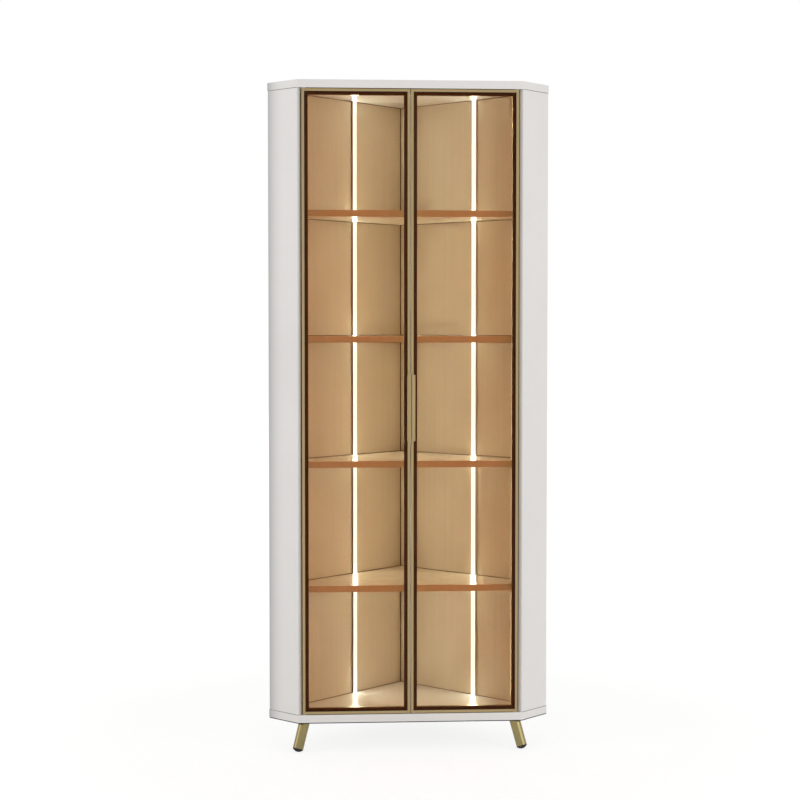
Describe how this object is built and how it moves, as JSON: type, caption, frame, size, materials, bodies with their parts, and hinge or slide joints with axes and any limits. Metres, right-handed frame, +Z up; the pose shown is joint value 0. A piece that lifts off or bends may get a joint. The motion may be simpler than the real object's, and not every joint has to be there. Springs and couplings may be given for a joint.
{
  "type": "corner display cabinet",
  "caption": "Tall free-standing corner display cabinet with a five-sided plan, framed glass doors on pivots, open shelves lit by wall lights, and splayed legs.",
  "frame": {"origin": "On the floor, at the centre of the box round the closed cabinet.", "axes": "+Z is up, the doors face -Y, +X is to the right as seen from the front, and the two walls of the room meet behind the cabinet, on the +Y side."},
  "size_m": [0.8476, 0.5422, 2],
  "materials": {
    "white_lacquer": "white satin lacquer on board",
    "cream_gloss_board": "cream gloss lacquer on board",
    "champagne_frame": "champagne gold anodised, fine brushed",
    "champagne_leg": "champagne gold plated tube",
    "bronze_glass": "bronze tinted float glass",
    "brown_rubber": "dark brown extruded rubber",
    "black_rubber": "dark moulded rubber",
    "anodised_aluminium": "silver anodised extrusion",
    "opal_cover": "opal diffuser, lit from behind",
    "light_strip": "light strip with a phosphor bead",
    "steel": "zinc plated",
    "white_nylon": "moulded nylon",
    "black_plastic": "moulded plastic"
  },
  "bodies": {
    "carcass": {"top_board": "white_lacquer", "bottom_board": "white_lacquer", "left_side_panel": "white_lacquer", "right_side_panel": "white_lacquer", "left_back_panel": "cream_gloss_board", "right_back_panel": "cream_gloss_board", "shelf_1": "cream_gloss_board", "shelf_2": "cream_gloss_board", "shelf_3": "cream_gloss_board", "shelf_4": "cream_gloss_board", "shelf_1_left_pin": "steel", "shelf_1_right_pin": "steel", "shelf_1_rear_pin": "steel", "shelf_2_left_pin": "steel", "shelf_2_right_pin": "steel", "shelf_2_rear_pin": "steel", "shelf_3_left_pin": "steel", "shelf_3_right_pin": "steel", "shelf_3_rear_pin": "steel", "shelf_4_left_pin": "steel", "shelf_4_right_pin": "steel", "shelf_4_rear_pin": "steel", "left_light_channel": "anodised_aluminium", "right_light_channel": "anodised_aluminium", "left_light_strip": "light_strip", "right_light_strip": "light_strip", "left_light_cover": "opal_cover", "right_light_cover": "opal_cover", "left_top_pivot": "steel", "left_bottom_pivot": "steel", "right_top_pivot": "steel", "right_bottom_pivot": "steel", "magnetic_catch": "black_plastic", "left_front_leg": "champagne_leg", "right_front_leg": "champagne_leg", "rear_leg": "champagne_leg", "left_front_leg_glide": "black_rubber", "right_front_leg_glide": "black_rubber", "rear_leg_glide": "black_rubber", "power_socket": "black_plastic"},
    "left_door": {"left_door_hinge_stile": "champagne_frame", "left_door_meeting_stile": "champagne_frame", "left_door_top_rail": "champagne_frame", "left_door_bottom_rail": "champagne_frame", "left_door_glass": "bronze_glass", "left_door_gasket": "brown_rubber", "left_handle": "champagne_frame", "left_strike_plate": "steel", "left_top_bushing": "white_nylon", "left_bottom_bushing": "white_nylon"},
    "right_door": {"right_door_hinge_stile": "champagne_frame", "right_door_meeting_stile": "champagne_frame", "right_door_top_rail": "champagne_frame", "right_door_bottom_rail": "champagne_frame", "right_door_glass": "bronze_glass", "right_door_gasket": "brown_rubber", "right_handle": "champagne_frame", "right_strike_plate": "steel", "right_top_bushing": "white_nylon", "right_bottom_bushing": "white_nylon"}
  },
  "joints": [
    {"name": "left_door_hinge", "type": "hinge", "parent": "carcass", "child": "left_door", "pos_m": [-0.31677, -0.23652, 0.114], "axis": [0, 0, -1], "range_deg": [0, 105]},
    {"name": "right_door_hinge", "type": "hinge", "parent": "carcass", "child": "right_door", "pos_m": [0.31677, -0.23652, 0.114], "axis": [0, 0, 1], "range_deg": [0, 105]}
  ]
}
